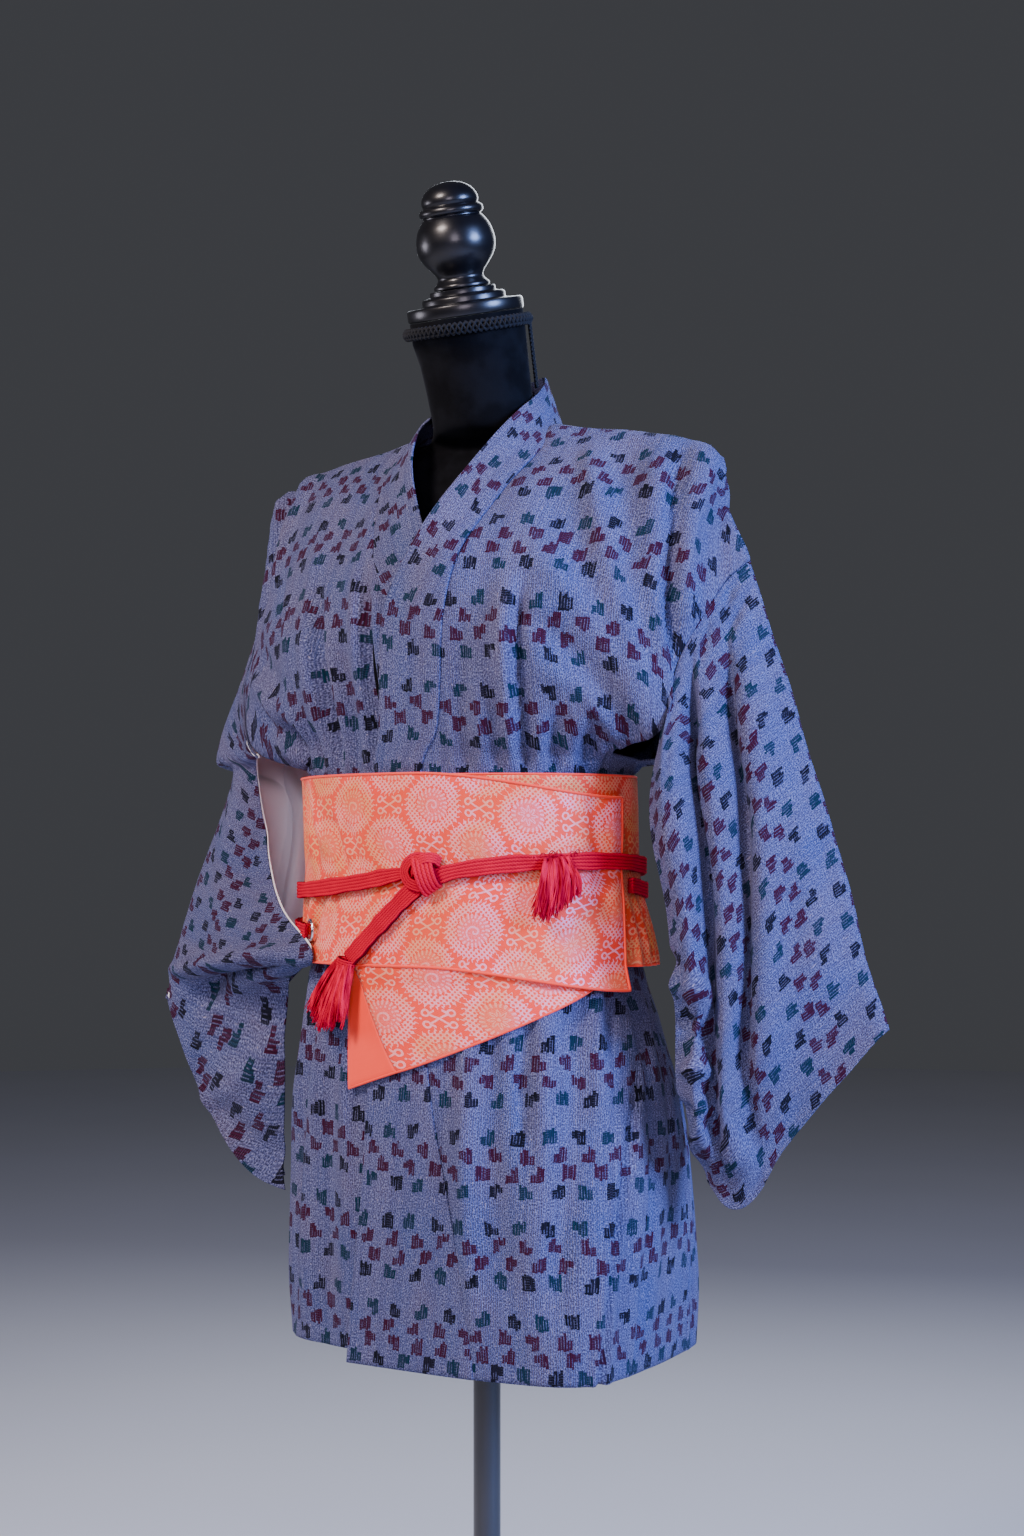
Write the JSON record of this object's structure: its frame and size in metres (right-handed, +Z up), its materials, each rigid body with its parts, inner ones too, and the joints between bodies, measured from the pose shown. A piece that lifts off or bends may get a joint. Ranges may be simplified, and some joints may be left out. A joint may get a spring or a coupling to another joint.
{
  "type": "haori jacket with belt on a limbless dress form and stand",
  "caption": "Short crossed haori jacket with wide belt, flat cord and tassels, worn on a limbless dress form with a turned finial, pole and round base.",
  "frame": {"origin": "underside of the round base, on the axis of the pole", "axes": "+Z up along the pole, front towards -Y, the wearer's left towards +X"},
  "size_m": [0.632, 0.34, 1.5577],
  "materials": {
    "pole_metal": "gloss black",
    "velvet": "black velvet",
    "black_lacquer": "satin black paint on turned wood",
    "black_braid": "black braid",
    "haori_cloth": "ribbed crepe with small woven blocks",
    "satin_lining": "white satin",
    "brocade": "coral brocade with pale roundels",
    "plain_coral": "plain coral weave",
    "red_cord": "ribbed braid",
    "eyelet_metal": "polished"
  },
  "bodies": {
    "root": {"base": "pole_metal", "pole": "pole_metal", "form_body": "velvet", "neck_cap": "black_lacquer", "finial": "black_lacquer", "neck_braid": "black_braid", "neck_braid_tail": "black_braid", "front_left": "haori_cloth", "front_right": "haori_cloth", "back_left": "haori_cloth", "back_right": "haori_cloth", "collar_left": "haori_cloth", "collar_right": "haori_cloth", "collar_back": "haori_cloth", "gusset_left": "haori_cloth", "gusset_right": "haori_cloth", "sleeve_left": "haori_cloth", "sleeve_left_lining": "satin_lining", "sleeve_right": "haori_cloth", "sleeve_right_lining": "satin_lining", "belt_inner_turn": "brocade", "belt_outer_turn": "brocade", "belt_flap_band": "plain_coral", "belt_flap": "brocade", "cord_loop": "red_cord", "cord_second": "red_cord", "cord_tail": "red_cord", "cord_knot": "red_cord", "tassel_tail": "red_cord", "tassel_side": "red_cord", "eyelet": "eyelet_metal"}
  },
  "joints": []
}
